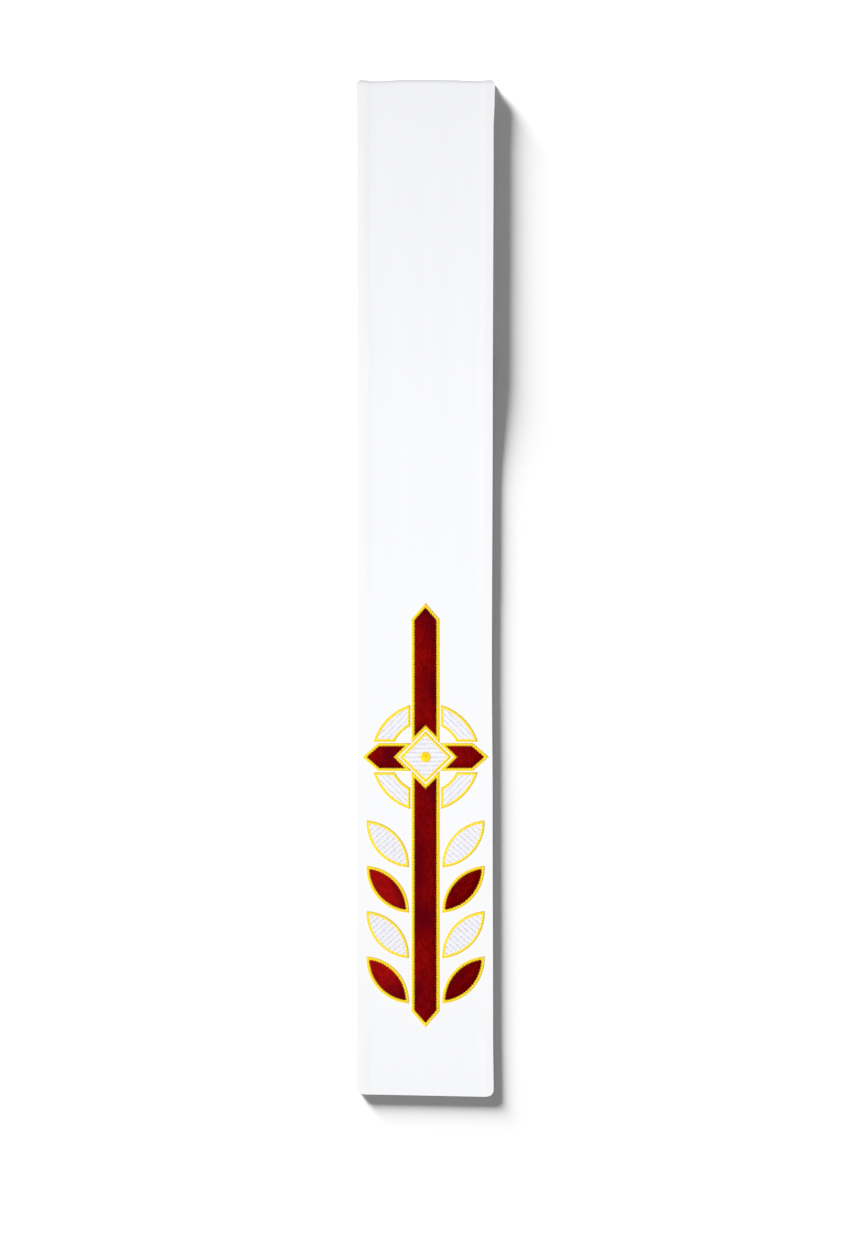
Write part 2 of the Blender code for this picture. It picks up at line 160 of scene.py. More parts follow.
# %% The path of the half that shows
Spot = namedtuple("Spot", "y z facing")
FACE_RUN = FOLD_Y - FOOT_Y
FOLD_RUN = math.pi * FOLD_RADIUS
UNDER_RUN = FOLD_Y - NECK_Y - NECK_RADIUS
NECK_RUN = math.pi * NECK_RADIUS
FRONT_LENGTH = FACE_RUN + FOLD_RUN + UNDER_RUN + NECK_RUN + NECK_SEAM


def half_turn(centre_y, middle_z, radius, start, along):
    """A spot on a fold, a distance along its round outside. Facing 0 is up, half a turn is down."""
    facing = start + along / radius
    return Spot(centre_y + radius * math.sin(facing), middle_z + radius * math.cos(facing), facing)


def front_spot(along):
    """A spot on the outer face of the half that shows: face, top fold, turned under, neck, seam."""
    if along <= FACE_RUN:
        return Spot(FOOT_Y + along, face_height(FOOT_Y + along), 0.0)
    along -= FACE_RUN
    if along <= FOLD_RUN:
        return half_turn(FOLD_Y, FOLD_RADIUS, FOLD_RADIUS, 0.0, along)
    along -= FOLD_RUN
    if along <= UNDER_RUN:
        return Spot(FOLD_Y - along, 0.0, math.pi)
    along -= UNDER_RUN
    if along <= NECK_RUN:
        return half_turn(NECK_Y + NECK_RADIUS, NECK_RADIUS, NECK_RADIUS, math.pi, along)
    return Spot(NECK_Y + NECK_RADIUS + along - NECK_RUN, LOW_STACK, 2 * math.pi)


print("cloth in the half that shows:", round(FRONT_LENGTH, 3), "m")

# %% The path of the hidden half
HEM_SETBACK = 3.0 * MM
FOLD_SETBACK = 1.8 * MM
HIDDEN_FOOT = FOOT_Y + HEM_SETBACK
HIDDEN_FOLD = FOLD_Y - FOLD_SETBACK
HIDDEN_RADIUS = FOLD_RADIUS - CLOTH - GAP
HIDDEN_END = NECK_Y + NECK_RADIUS + NECK_SEAM + GAP
HIDDEN_FACE_RUN = HIDDEN_FOLD - HIDDEN_FOOT
HIDDEN_FOLD_RUN = math.pi * HIDDEN_RADIUS
HIDDEN_LENGTH = HIDDEN_FACE_RUN + HIDDEN_FOLD_RUN + HIDDEN_FOLD - HIDDEN_END


def hidden_spot(along):
    """A spot on the outer face of the hidden half: under the face, its own fold, and back to the seam."""
    if along <= HIDDEN_FACE_RUN:
        y = HIDDEN_FOOT + along
        return Spot(y, face_height(y) - CLOTH - GAP, 0.0)
    along -= HIDDEN_FACE_RUN
    if along <= HIDDEN_FOLD_RUN:
        return half_turn(HIDDEN_FOLD, FOLD_RADIUS, HIDDEN_RADIUS, 0.0, along)
    return Spot(HIDDEN_FOLD - along + HIDDEN_FOLD_RUN, FOLD_RADIUS - HIDDEN_RADIUS, math.pi)


print("cloth in the hidden half:", round(HIDDEN_LENGTH, 3), "m")

# %% [markdown]
# ## What is pressed into the face
# The long edges are turned in, and the turned-in borders stand a little proud, about 12 mm wide at both
# sides, with a soft ridge where each border ends. The stitching of the motif presses them flat. A few
# soft troughs stay from how the band was folded. Each is placed one by one, uneven on purpose.

# %% The turned-in borders
TurnRow = namedtuple("TurnRow", "height left right")
TURNS = [
    TurnRow(0 * MM, 12.4 * MM, 11.2 * MM),
    TurnRow(560 * MM, 12.8 * MM, 11.4 * MM),
    TurnRow(700 * MM, 12.6 * MM, 11.8 * MM),
    TurnRow(745 * MM, 15.2 * MM, 12.2 * MM),
    TurnRow(785 * MM, 13.0 * MM, 11.6 * MM),
    TurnRow(870 * MM, 10.8 * MM, 11.0 * MM),
    TurnRow(960 * MM, 11.6 * MM, 11.6 * MM),
    TurnRow(1032 * MM, 12.6 * MM, 12.2 * MM),
]
TURN_RISE = 0.4 * MM
TURN_SLOPE = 3.2 * MM
RIDGE_RISE = 0.05 * MM
RIDGE_WIDTH = 1.8 * MM
EDGE_DROP = 0.22 * MM
EDGE_DROP_WIDTH = 6 * MM


def bump(distance, width):
    """A smooth hill of height 1: full at distance 0, and gone a few widths away."""
    return math.exp(-((distance / width) ** 2))


def border_relief(height, from_left, from_right):
    """How far the turned-in borders stand proud, at a height and at distances from the two edges."""
    rise = 0.0
    for distance, side in ((from_left, "left"), (from_right, "right")):
        turn = read_table(TURNS, height, side)
        rise += TURN_RISE * (1 - smooth((distance - turn + TURN_SLOPE) / (2 * TURN_SLOPE)))
        rise += RIDGE_RISE * bump(distance - turn + TURN_SLOPE, RIDGE_WIDTH)
        rise -= EDGE_DROP * (1 - smooth(distance / EDGE_DROP_WIDTH))
    return rise


print("left border at the top fold:", round(TURNS[-1].left / MM, 1), "mm wide")

# %% The troughs, and the whole relief
PRESSED_LOW = FOOT_Y + 67 * MM
PRESSED_HIGH = FOOT_Y + 505 * MM
PRESS_FADE = 14 * MM
HEM_FADE = 6 * MM
Trough = namedtuple("Trough", "low high x_low x_high depth width")
TROUGHS = [
    Trough(540 * MM, 905 * MM, -31 * MM, -38 * MM, 0.30 * MM, 9 * MM),
    Trough(600 * MM, 1010 * MM, 22 * MM, 29 * MM, 0.34 * MM, 11 * MM),
    Trough(690 * MM, 985 * MM, -6 * MM, 3 * MM, 0.22 * MM, 7 * MM),
    Trough(15 * MM, 190 * MM, -49 * MM, -54 * MM, 0.20 * MM, 6 * MM),
    Trough(20 * MM, 150 * MM, 46 * MM, 51 * MM, 0.24 * MM, 7 * MM),
    Trough(515 * MM, 700 * MM, 47 * MM, 44 * MM, 0.20 * MM, 6 * MM),
    Trough(880 * MM, 1020 * MM, -52 * MM, -45 * MM, 0.26 * MM, 8 * MM),
]
TROUGH_FADE = 60 * MM


def face_relief(x, height, from_left, from_right):
    """The relief of the face at x and a height over the foot hem."""
    y = FOOT_Y + height
    free = smooth(max(PRESSED_LOW - y, y - PRESSED_HIGH) / PRESS_FADE)
    rise = border_relief(height, from_left, from_right) * free * smooth(height / HEM_FADE)
    for trough in TROUGHS:
        if trough.low < height < trough.high:
            share = (height - trough.low) / (trough.high - trough.low)
            middle = trough.x_low + (trough.x_high - trough.x_low) * share
            fade = smooth((height - trough.low) / TROUGH_FADE) * smooth((trough.high - height) / TROUGH_FADE)
            rise -= trough.depth * fade * bump(x - middle, trough.width)
    return rise


print("troughs in the face:", len(TROUGHS))

# %% [markdown]
# ## Cloth from a grid
# Each half starts as one flat grid, as the cut cloth does. Its points are then laid along the path, its
# edges follow the outline, and a UV map keeps for each point how far across and along the cloth it lies.
# That is cheaper and cleaner than a simulation, and the band is pressed flat, so there is no drape to
# simulate.

# %% Rows of points along the cloth
Run = namedtuple("Run", "end longest")


def spaced(start, end, longest):
    """Places from start to end, evenly spaced and no further apart than longest."""
    count = max(1, math.ceil(abs(end - start) / longest))
    return [start + (end - start) * i / count for i in range(count + 1)]


def spaced_runs(runs):
    """Places from 0 on, run after run, each up to its own end and with its own longest spacing."""
    places = [0.0]
    start = 0.0
    for run in runs:
        places += spaced(start, run.end, run.longest)[1:]
        start = run.end
    return places


print("places in 10 mm, 3 mm apart at most:", len(spaced(0, 10 * MM, 3 * MM)))

# %% Lay a grid of cloth
CLOTH_UV = "cloth"
GRID_REACH = 0.5


def lay_cloth(name, columns, rows, place):
    """A grid of cloth, laid out by place(across, along), which gives a point and the cloth's own x."""
    mesh = bmesh.new()
    bmesh.ops.create_grid(mesh, x_segments=len(columns) - 1, y_segments=len(rows) - 1, size=GRID_REACH)
    flat = {}
    for vert in mesh.verts:
        across = columns[round((vert.co.x + GRID_REACH) * (len(columns) - 1))]
        along = rows[round((vert.co.y + GRID_REACH) * (len(rows) - 1))]
        vert.co, x = place(across, along)
        flat[vert] = (x, along)
    uv = mesh.loops.layers.uv.new(CLOTH_UV)
    for face in mesh.faces:
        for loop in face.loops:
            loop[uv].uv = flat[loop.vert]
    print(name, "grid:", len(columns), "by", len(rows), "points")
    return mesh


# %% [markdown]
# ### Wall and edges
# The grid is only the outer face. Solidify gives it the wall, inwards, and a small bevel rounds the
# edges of the wall, because a turned edge is soft. Every finished piece rides on the solids' body and
# stands for the solids that it replaces.

# %% Keep a finished piece
CLOTH_CREASE = math.radians(50)
STITCH_CREASE = math.radians(75)


def keep(mesh, name, nodes, crease):
    """A finished bmesh as an object that rides on the solids and stands for the named ones."""
    data = bpy.data.meshes.new(name)
    mesh.to_mesh(data)
    mesh.free()
    data.shade_smooth()
    data.set_sharp_from_angle(angle=crease)
    piece = bpy.data.objects.new(name, data)
    scene.collection.objects.link(piece)
    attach(piece, "root")
    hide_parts(*nodes)
    return piece


print("faces of cloth meet smoothly below", round(math.degrees(CLOTH_CREASE)), "degrees")

# %% Give cloth its wall
EDGE_BEVEL = 0.72 * MM
EDGE_SEGMENTS = 3
EDGE_ANGLE = math.radians(60)


def give_wall(piece):
    """Thickness inwards from the outer face, with rounded edges."""
    wall = piece.modifiers.new("wall", "SOLIDIFY")
    wall.thickness = WALL
    wall.offset = -1.0
    wall.use_even_offset = False
    soft = piece.modifiers.new("soft edge", "BEVEL")
    soft.width = EDGE_BEVEL
    soft.segments = EDGE_SEGMENTS
    soft.limit_method = "ANGLE"
    soft.angle_limit = EDGE_ANGLE
    soft.harden_normals = False


print("wall", round(WALL / MM, 2), "mm, edges rounded by", round(EDGE_BEVEL / MM, 2), "mm")

# %% [markdown]
# ### The half that shows
# This piece makes the picture: the face with its borders, the roll over the top fold, and the stretch
# that is turned under. Its columns crowd where the borders end, and its rows crowd at the folds.

# %% Columns and rows of the half that shows
LEFT_MM = [0.0, 0.8, 2.0, 3.6, 5.4, 7.4, 9.0, 10.3, 11.3, 12.2, 13.1, 14.1, 15.3, 17.2]
RIGHT_MM = [15.6, 13.9, 12.7, 11.7, 10.8, 9.9, 8.8, 7.3, 5.5, 3.7, 2.0, 0.8, 0.0]
MIDDLE_STEP = 3.6 * MM
HEM_REACH = 9 * MM
UNDER_START = FACE_RUN + FOLD_RUN
NECK_START = UNDER_START + UNDER_RUN
front_columns = [
    *(distance * MM for distance in LEFT_MM),
    *spaced(LEFT_MM[-1] * MM, BAND_WIDTH - RIGHT_MM[0] * MM, MIDDLE_STEP)[1:],
    *(BAND_WIDTH - distance * MM for distance in RIGHT_MM[1:]),
]
front_rows = spaced_runs(
    [
        Run(end=HEM_REACH, longest=1.3 * MM),
        Run(end=FACE_RUN - FOLD_REACH, longest=4.5 * MM),
        Run(end=FACE_RUN, longest=3 * MM),
        Run(end=UNDER_START, longest=0.9 * MM),
        Run(end=UNDER_START + FOLD_REACH, longest=5 * MM),
        Run(end=NECK_START, longest=16 * MM),
        Run(end=NECK_START + NECK_RUN, longest=0.8 * MM),
        Run(end=FRONT_LENGTH, longest=2 * MM),
    ]
)
print("columns:", len(front_columns), "rows:", len(front_rows))


# %% Build the half that shows
def place_front(across, along):
    """The place of a point of the half that shows, and its x on the cloth."""
    spot = front_spot(along)
    height = spot.y - FOOT_Y
    left = read_table(OUTLINE, height, "left")
    right = read_table(OUTLINE, height, "right")
    shown = along <= FACE_RUN + FOLD_RUN / 2
    inset = corner_inset(height, FOOT_CORNER) if shown else corner_inset(spot.y - NECK_Y, NECK_CORNER)
    inset = max(inset, corner_inset(TOP_Y - spot.y, TOP_CORNER) if along > FACE_RUN else 0.0)
    x = left + inset + (right - left - 2 * inset) * across / BAND_WIDTH
    past_neck = along > NECK_START
    bow = 0.0 if past_neck else smooth((spot.y - FOLD_Y + FOLD_REACH) / FOLD_REACH)
    slant = (1 - smooth(height / SLANT_REACH)) * FOOT_SLANT if shown else 0.0
    back = read_table(TOP_FOLD, x, "back") * bow
    askew = slant * (OUTLINE[0].right - x) / (OUTLINE[0].right - OUTLINE[0].left)
    fade = 1 - smooth((along - FACE_RUN) / FOLD_RUN)
    rise = face_relief(x, height, x - left, right - x) * fade if fade > 0 else 0.0
    y = spot.y - back + askew + rise * math.sin(spot.facing)
    return Vector((x, y, spot.z + rise * math.cos(spot.facing))), x


front_cloth = keep(
    lay_cloth("front_cloth", front_columns, front_rows, place_front),
    "front_cloth",
    nodes=["front_band"],
    crease=CLOTH_CREASE,
)
give_wall(front_cloth)

# %% [markdown]
# ### The hidden half
# Only its edges can be seen, at the sides of the stack and just inside the hem, so its grid is coarse
# except round its own small fold.

# %% Build the hidden half
HIDDEN_LEFT = 0.4 * MM
HIDDEN_RIGHT = 1.8 * MM
HIDDEN_STEP = 11 * MM
HIDDEN_BACK = HIDDEN_FACE_RUN + HIDDEN_FOLD_RUN
hidden_columns = spaced(0, BAND_WIDTH, HIDDEN_STEP)
hidden_rows = spaced_runs(
    [
        Run(end=HEM_REACH, longest=1.5 * MM),
        Run(end=HIDDEN_FACE_RUN, longest=9 * MM),
        Run(end=HIDDEN_BACK, longest=0.7 * MM),
        Run(end=HIDDEN_LENGTH, longest=HIDDEN_STEP),
    ]
)


def place_hidden(across, along):
    """The place of a point of the hidden half, and its x on the cloth."""
    spot = hidden_spot(along)
    height = spot.y - FOOT_Y
    inset = corner_inset(along, FOOT_CORNER)
    left = read_table(OUTLINE, height, "left") + HIDDEN_LEFT + inset
    right = read_table(OUTLINE, height, "right") - HIDDEN_RIGHT - inset
    x = left + (right - left) * across / BAND_WIDTH
    return Vector((x, spot.y, spot.z)), x


hidden_cloth = keep(
    lay_cloth("hidden_cloth", hidden_columns, hidden_rows, place_hidden),
    "hidden_cloth",
    nodes=["folded_layers"],
    crease=CLOTH_CREASE,
)
give_wall(hidden_cloth)

# %% [markdown]
# ## The motif
# The motif is a ringed cross on a stem with pairs of leaves, an ornament used on church linen for
# centuries. Each piece is an outline of straight stretches and arcs, measured from the crossing, so one
# set of functions draws every ground and every border.

# %% Sizes of the motif
CROSSING_Y = FOOT_Y + 345 * MM
BORDER = 3.2 * MM
MOTIF_SPACE = 1.6 * MM
LIMB_WIDTH = 28 * MM
LIMB_TIP = 16 * MM
TOP_LIMB = 156 * MM
SIDE_LIMB = 64 * MM
FOOT_LIMB = 274 * MM
LOZENGE = 26 * MM
RING_INNER = 35 * MM
RING_OUTER = 55 * MM
BOSS_RADIUS = 5.5 * MM
LEAF_PAIRS = 4
LEAF_LENGTH = 64 * MM
LEAF_BULGE = 13 * MM
LEAF_ANGLE = math.radians(48)
LEAF_ROOT = 17 * MM
FIRST_LEAF = -112 * MM
LEAF_STEP = -46 * MM
print("the motif is", round((TOP_LIMB + FOOT_LIMB) / MM), "mm long and", round(2 * SIDE_LIMB / MM), "mm wide")

# %% Turning, mirroring and arcs
ARC_STEPS = 14
QUARTER = math.pi / 2


def turned(points, angle):
    """Points of an outline, turned about the crossing."""
    rotation = Matrix.Rotation(angle, 2)
    return [rotation @ Vector(point) for point in points]


def mirrored(points):
    """The outline on the other side of the centreline, still anticlockwise."""
    return [Vector((-point.x, point.y)) for point in reversed(points)]


def arc(centre, radius, start, end):
    """Points along a round stretch, both ends included."""
    angles = [start + (end - start) * i / ARC_STEPS for i in range(ARC_STEPS + 1)]
    return [centre + Vector((math.cos(angle), math.sin(angle))) * radius for angle in angles]


print("points along an arc:", ARC_STEPS + 1)


# %% Outlines of the cross, the lozenge and the ring
def limb(length, angle):
    """One limb of the cross: pointed at its end, and notched where it meets the lozenge."""
    half = LIMB_WIDTH / 2
    notch = LOZENGE + MOTIF_SPACE * math.sqrt(2)
    points = [
        (0, notch),
        (half, notch - half),
        (half, length - LIMB_TIP),
        (0, length),
        (-half, length - LIMB_TIP),
        (-half, notch - half),
    ]
    return turned(points, angle)


def lozenge():
    """The lozenge at the crossing."""
    return turned([(LOZENGE, 0), (0, LOZENGE), (-LOZENGE, 0), (0, -LOZENGE)], 0.0)


def ring_quarter(angle):
    """The part of the ring between two limbs."""
    clear = LIMB_WIDTH / 2 + MOTIF_SPACE
    outer = math.asin(clear / RING_OUTER)
    inner = math.asin(clear / RING_INNER)
    centre = Vector((0, 0))
    outside = arc(centre, RING_OUTER, outer, QUARTER - outer)
    inside = arc(centre, RING_INNER, QUARTER - inner, inner)
    return turned(outside + inside, angle)


print("points round a limb:", len(limb(TOP_LIMB, 0.0)), "round a part of the ring:", len(ring_quarter(0.0)))


# %% Outline of a leaf
def leaf(row):
    """A leaf on the right of the stem: two round sides between its root and its tip."""
    root = Vector((LEAF_ROOT, FIRST_LEAF + LEAF_STEP * row))
    along = Vector((math.cos(LEAF_ANGLE), math.sin(LEAF_ANGLE)))
    across = Vector((along.y, -along.x))
    half = LEAF_LENGTH / 2
    radius = (half**2 + LEAF_BULGE**2) / (2 * LEAF_BULGE)
    spread = math.asin(half / radius)
    middle = root + along * half
    outward = math.atan2(across.y, across.x)
    lower_centre = middle - across * (radius - LEAF_BULGE)
    upper_centre = middle + across * (radius - LEAF_BULGE)
    lower = arc(lower_centre, radius, outward - spread, outward + spread)
    upper = arc(upper_centre, radius, outward + math.pi - spread, outward + math.pi + spread)
    return lower[:-1] + upper[:-1]


print("points round a leaf:", len(leaf(0)))

# %% The list of pieces, with the way the threads of each ground run
MotifPiece = namedtuple("MotifPiece", "name outline thread angle")
motif = [
    MotifPiece("cross_top", limb(TOP_LIMB, 0.0), "burgundy", QUARTER),
    MotifPiece("cross_left", limb(SIDE_LIMB, QUARTER), "burgundy", QUARTER),
    MotifPiece("cross_foot", limb(FOOT_LIMB, 2 * QUARTER), "burgundy", QUARTER),
    MotifPiece("cross_right", limb(SIDE_LIMB, 3 * QUARTER), "burgundy", QUARTER),
    MotifPiece("lozenge", lozenge(), "white", QUARTER),
]
for i, corner in enumerate(("top_right", "top_left", "foot_left", "foot_right")):
    motif.append(MotifPiece(f"ring_{corner}", ring_quarter(QUARTER * i), "white", QUARTER * (0.5 + i)))
for row in range(LEAF_PAIRS):
    thread = "burgundy" if row % 2 else "white"
    motif.append(MotifPiece(f"leaf_right_{row + 1}", leaf(row), thread, LEAF_ANGLE))
    motif.append(MotifPiece(f"leaf_left_{row + 1}", mirrored(leaf(row)), thread, math.pi - LEAF_ANGLE))
print("pieces of the motif:", len(motif))

# %% [markdown]
# ## One stitch
# All the embroidery is made of one small shape: a stitch of thread, round on top, blunt at its ends and
# flat underneath where it sinks into the cloth. It starts as a coarse sphere, because it is repeated
# thousands of times and has to stay light. Its UV map holds how far a point lies from the nearer end of
# the stitch, and a tone, the same all over one stitch, so that no two stitches need look the same.

# %% Model the stitch
STITCH_SIDES = 6
STITCH_RINGS = 4
BLUNT = 0.62
UNDERSIDE = 0.12
AT_POLE = 1e-4
THREAD_UV = "thread"


def blunted(value, power):
    """A value from -1 to 1, pushed outwards."""
    return math.copysign(abs(value) ** power, value)


def make_stitch():
    """One stitch along X, from -1 to 1, with its top at 1."""
    mesh = bmesh.new()
    bmesh.ops.create_uvsphere(mesh, u_segments=STITCH_SIDES, v_segments=STITCH_RINGS, radius=1.0)
    bmesh.ops.rotate(mesh, verts=mesh.verts, matrix=Matrix.Rotation(QUARTER, 3, "Y"))
    for vert in mesh.verts:
        reach = math.hypot(vert.co.y, vert.co.z)
        fuller = reach**BLUNT / reach if reach > AT_POLE else 1.0
        low = UNDERSIDE if vert.co.z < 0 else 1.0
        vert.co = (blunted(vert.co.x, BLUNT), vert.co.y * fuller, vert.co.z * fuller * low)
    uv = mesh.loops.layers.uv.new(THREAD_UV)
    for face in mesh.faces:
        for loop in face.loops:
            loop[uv].uv = (1 - abs(loop.vert.co.x), 0.0)
    data = bpy.data.meshes.new("stitch")
    mesh.to_mesh(data)
    mesh.free()
    return data


stitch = make_stitch()
print("one stitch:", len(stitch.polygons), "faces")

# %% Lay many stitches
Lay = namedtuple("Lay", "x y z angle half width height tone")
STITCH_POINTS = len(stitch.vertices)
STITCH_FACES = len(stitch.polygons)


def lay_stitches(lays):
    """A new bmesh with one stitch for each lay: its middle, way, half length, width, height and tone."""
    mesh = bmesh.new()
    for _ in lays:
        mesh.from_mesh(stitch)
    mesh.verts.ensure_lookup_table()
    mesh.faces.ensure_lookup_table()
    uv = mesh.loops.layers.uv[THREAD_UV]
    for i, lay in enumerate(lays):
        size = Matrix.Diagonal((lay.half, lay.width / 2, lay.height, 1.0))
        turn = Matrix.Rotation(lay.angle, 4, "Z")
        placed = Matrix.Translation((lay.x, lay.y, lay.z)) @ turn @ size
        for vert in mesh.verts[i * STITCH_POINTS : (i + 1) * STITCH_POINTS]:
            vert.co = placed @ vert.co
        for face in mesh.faces[i * STITCH_FACES : (i + 1) * STITCH_FACES]:
            for loop in face.loops:
                loop[uv].uv = (loop[uv].uv.x * lay.half, lay.tone)
    return mesh


print("points in a stitch:", STITCH_POINTS)

# %% [markdown]
# ## Grounds
# A ground is a padded plate with threads laid over it. In the burgundy grounds the threads run the long
# way and end in staggered places, so no line shows across them. In the white grounds two threads of four
# dip at even rows 4.5 mm apart, which makes rows of small dashes.

# %% Sizes of the fillings
MOTIF_SEAT = 0.05 * MM
PAD_HEIGHT = 0.62 * MM
UNDER_BORDER = 1.4 * MM
Filling = namedtuple("Filling", "pitch width height row rows dipped group gloss varied")
# The share of each thread's tone that is painted sheen and shade comes before the share that differs at
# random.
FILLINGS = {
    "burgundy": Filling(
        pitch=0.76 * MM,
        width=0.86 * MM,
        height=0.34 * MM,
        row=1.4 * MM,
        rows=3,
        dipped=0,
        group=1,
        gloss=0.55,
        varied=0.45,
    ),
    "white": Filling(
        pitch=0.65 * MM,
        width=0.74 * MM,
        height=0.36 * MM,
        row=4.45 * MM,
        rows=5,
        dipped=2,
        group=4,
        gloss=0.0,
        varied=1.0,
    ),
}
for name, filling in FILLINGS.items():
    print(name, "threads are laid", round(filling.pitch / MM, 2), "mm apart")


# %% [markdown]
# ### Where threads run
# Threads are found by drawing lines across the outline and keeping what lies inside it, as an embroidery
# machine does. The outline is first moved inwards, because the border will cover the threads' ends.

# %% Lines across an outline
def inset_outline(points, distance):
    """The anticlockwise outline moved inwards by a distance, with its corners kept sharp."""
    moved = []
    for i, point in enumerate(points):
        before = (point - points[i - 1]).normalized()
        after = (points[(i + 1) % len(points)] - point).normalized()
        first = Vector((-before.y, before.x))
        second = Vector((-after.y, after.x))
        moved.append(point + (first + second) * distance / (1 + first.dot(second)))
    return moved


def crossings(points, x):
    """Where the upright line at x crosses a closed outline, from low to high."""
    found = []
    for i, end in enumerate(points):
        start = points[i - 1]
        if (start.x <= x) != (end.x <= x):
            found.append(start.y + (end.y - start.y) * (x - start.x) / (end.x - start.x))
    return sorted(found)


print("an upright line crosses the lozenge", len(crossings(lozenge(), 0.0)), "times")

# %% [markdown]
# ### How silk shines, painted into its tone
# Burgundy silk shines by the way its threads run, so a leaf at the left of the stem looks lighter than
# one at the right. Its padding is a little domed, so the side that faces the light shines more, and the
# other one less. Stitches this coarse don't show that by themselves, so both are painted into their tone:
# a painted sheen by the way the threads run, and a painted highlight and painted shade on the dome.

# %% The painted sheen and shade of a thread
# The painted sheen, and the painted highlight and shade of the domed padding.
PAINTED_SHEEN_POWER = 1.5
TO_LIGHT = Vector((-0.8, 0.6))
DOME = 8 * MM
DOME_PAINTED_HIGHLIGHT = 0.25
DOME_PAINTED_SHADE = 0.8


def painted_sheen(angle):
    """A painted sheen by the way threads run: most from the upper left to the lower right."""
    return ((1 - math.sin(2 * angle)) / 2) ** PAINTED_SHEEN_POWER


def painted_dome_light(outline, point):
    """Painted highlight and shade of the domed padding: lighter towards the light, darker away from it."""
    nearest = DOME
    painted_shine = 0.0
    for i, end in enumerate(outline):
        start = outline[i - 1]
        share = (point - start).dot(end - start) / (end - start).length_squared
        to_edge = start.lerp(end, min(max(share, 0.0), 1.0)) - point
        if 0 < to_edge.length < nearest:
            nearest = to_edge.length
            painted_shine = to_edge.normalized().dot(TO_LIGHT) * (1 - nearest / DOME)
    return painted_shine * (DOME_PAINTED_HIGHLIGHT if painted_shine > 0 else DOME_PAINTED_SHADE)


for side, angle in (("left", math.pi - LEAF_ANGLE), ("right", LEAF_ANGLE)):
    print("shine of a leaf at the", side, round(painted_sheen(angle), 2))

# %% Threads that fill an outline
SHORTEST = 0.5 * MM
THREAD_ASKEW = 0.012
THREAD_OVERLAP = 1.02
THREAD_HEIGHTS = (0.92, 1.05)
FEW_LIGHT = 1.3


def lay_thread(middle, length, angle, filling, painted_shine, draw):
    """One thread of a ground, a little askew, with its own height, and a tone with any painted sheen and
    shade.
    """
    return Lay(
        x=middle.x,
        y=middle.y + CROSSING_Y,
        z=LOW_STACK + MOTIF_SEAT + PAD_HEIGHT,
        angle=angle + draw.uniform(-THREAD_ASKEW, THREAD_ASKEW),
        half=length / 2 * THREAD_OVERLAP,
        width=filling.width,
        height=filling.height * draw.uniform(*THREAD_HEIGHTS),
        tone=painted_shine + filling.varied * draw.random() ** FEW_LIGHT,
    )


def thread_runs(outline, filling, angle, draw):
    """The stitches that fill an outline, with the threads at an angle."""
    upright = turned(outline, QUARTER - angle)
    low, high = min(p.x for p in upright), max(p.x for p in upright)
    lays = []
    for column in range(math.ceil(low / filling.pitch), math.floor(high / filling.pitch) + 1):
        x = column * filling.pitch
        rows = 1 if column % filling.group < filling.dipped else filling.rows
        length = rows * filling.row
        shift = column * 2 % rows * filling.row
        ends = crossings(upright, x)
        for start, end in zip(ends[::2], ends[1::2]):
            first = math.floor((start - shift) / length)
            last = math.ceil((end - shift) / length)
            for step in range(first, last):
                a = max(start, step * length + shift)
                b = min(end, (step + 1) * length + shift)
                if b - a > SHORTEST:
                    middle = turned([(x, (a + b) / 2)], angle - QUARTER)[0]
                    # The painted sheen and shade for this thread's tone.
                    painted_shine = filling.gloss * (painted_sheen(angle) + painted_dome_light(outline, middle))
                    lays.append(lay_thread(middle, b - a, angle, filling, painted_shine, draw))
    return lays


print("shortest thread:", round(SHORTEST / MM, 1), "mm")


# %% The padded plate under the threads
def raise_pad(mesh, outline, height):
    """A padded plate on the cloth inside an outline, as high as the threads' undersides."""
    floor = LOW_STACK + MOTIF_SEAT
    corners = [mesh.verts.new((point.x, point.y + CROSSING_Y, floor)) for point in outline]
    bottom = mesh.faces.new(reversed(corners))
    raised = bmesh.ops.extrude_face_region(mesh, geom=[bottom], use_keep_orig=True)["geom"]
    top = [item for item in raised if isinstance(item, bmesh.types.BMVert)]
    bmesh.ops.translate(mesh, verts=top, vec=(0, 0, height))
    pad = {face for vert in (*corners, *top) for face in vert.link_faces}
    bmesh.ops.recalc_face_normals(mesh, faces=list(pad))
    return mesh


print("padding:", round(PAD_HEIGHT / MM, 2), "mm high")

# %% Build the grounds
GROUND_SEED = 100
grounds = {}
for order, piece in enumerate(motif):
    draw = random.Random(GROUND_SEED + order)
    edge = inset_outline(piece.outline, BORDER - UNDER_BORDER)
    lays = thread_runs(edge, FILLINGS[piece.thread], piece.angle, draw)
    ground = raise_pad(lay_stitches(lays), edge, PAD_HEIGHT)
    grounds[piece.name] = keep(
        ground,
        f"{piece.name}_threads",
        nodes=[piece.name],
        crease=STITCH_CREASE,
    )
    print(piece.name, "threads:", len(lays))

# %% [markdown]
# ## Borders
# Each border is satin stitch: threads laid side by side across a padded cord, a little slanted, which
# gives gold its rope-like sparkle. The padding is the outline inset in steps, so it is a low round rim.

# %% The padded rim
RIM_HEIGHT = 0.95 * MM
RimStep = namedtuple("RimStep", "share height")
RIM_PROFILE = [RimStep(0.14, 0.62), RimStep(0.5, 1.0), RimStep(0.86, 0.62), RimStep(1.0, 0.0)]


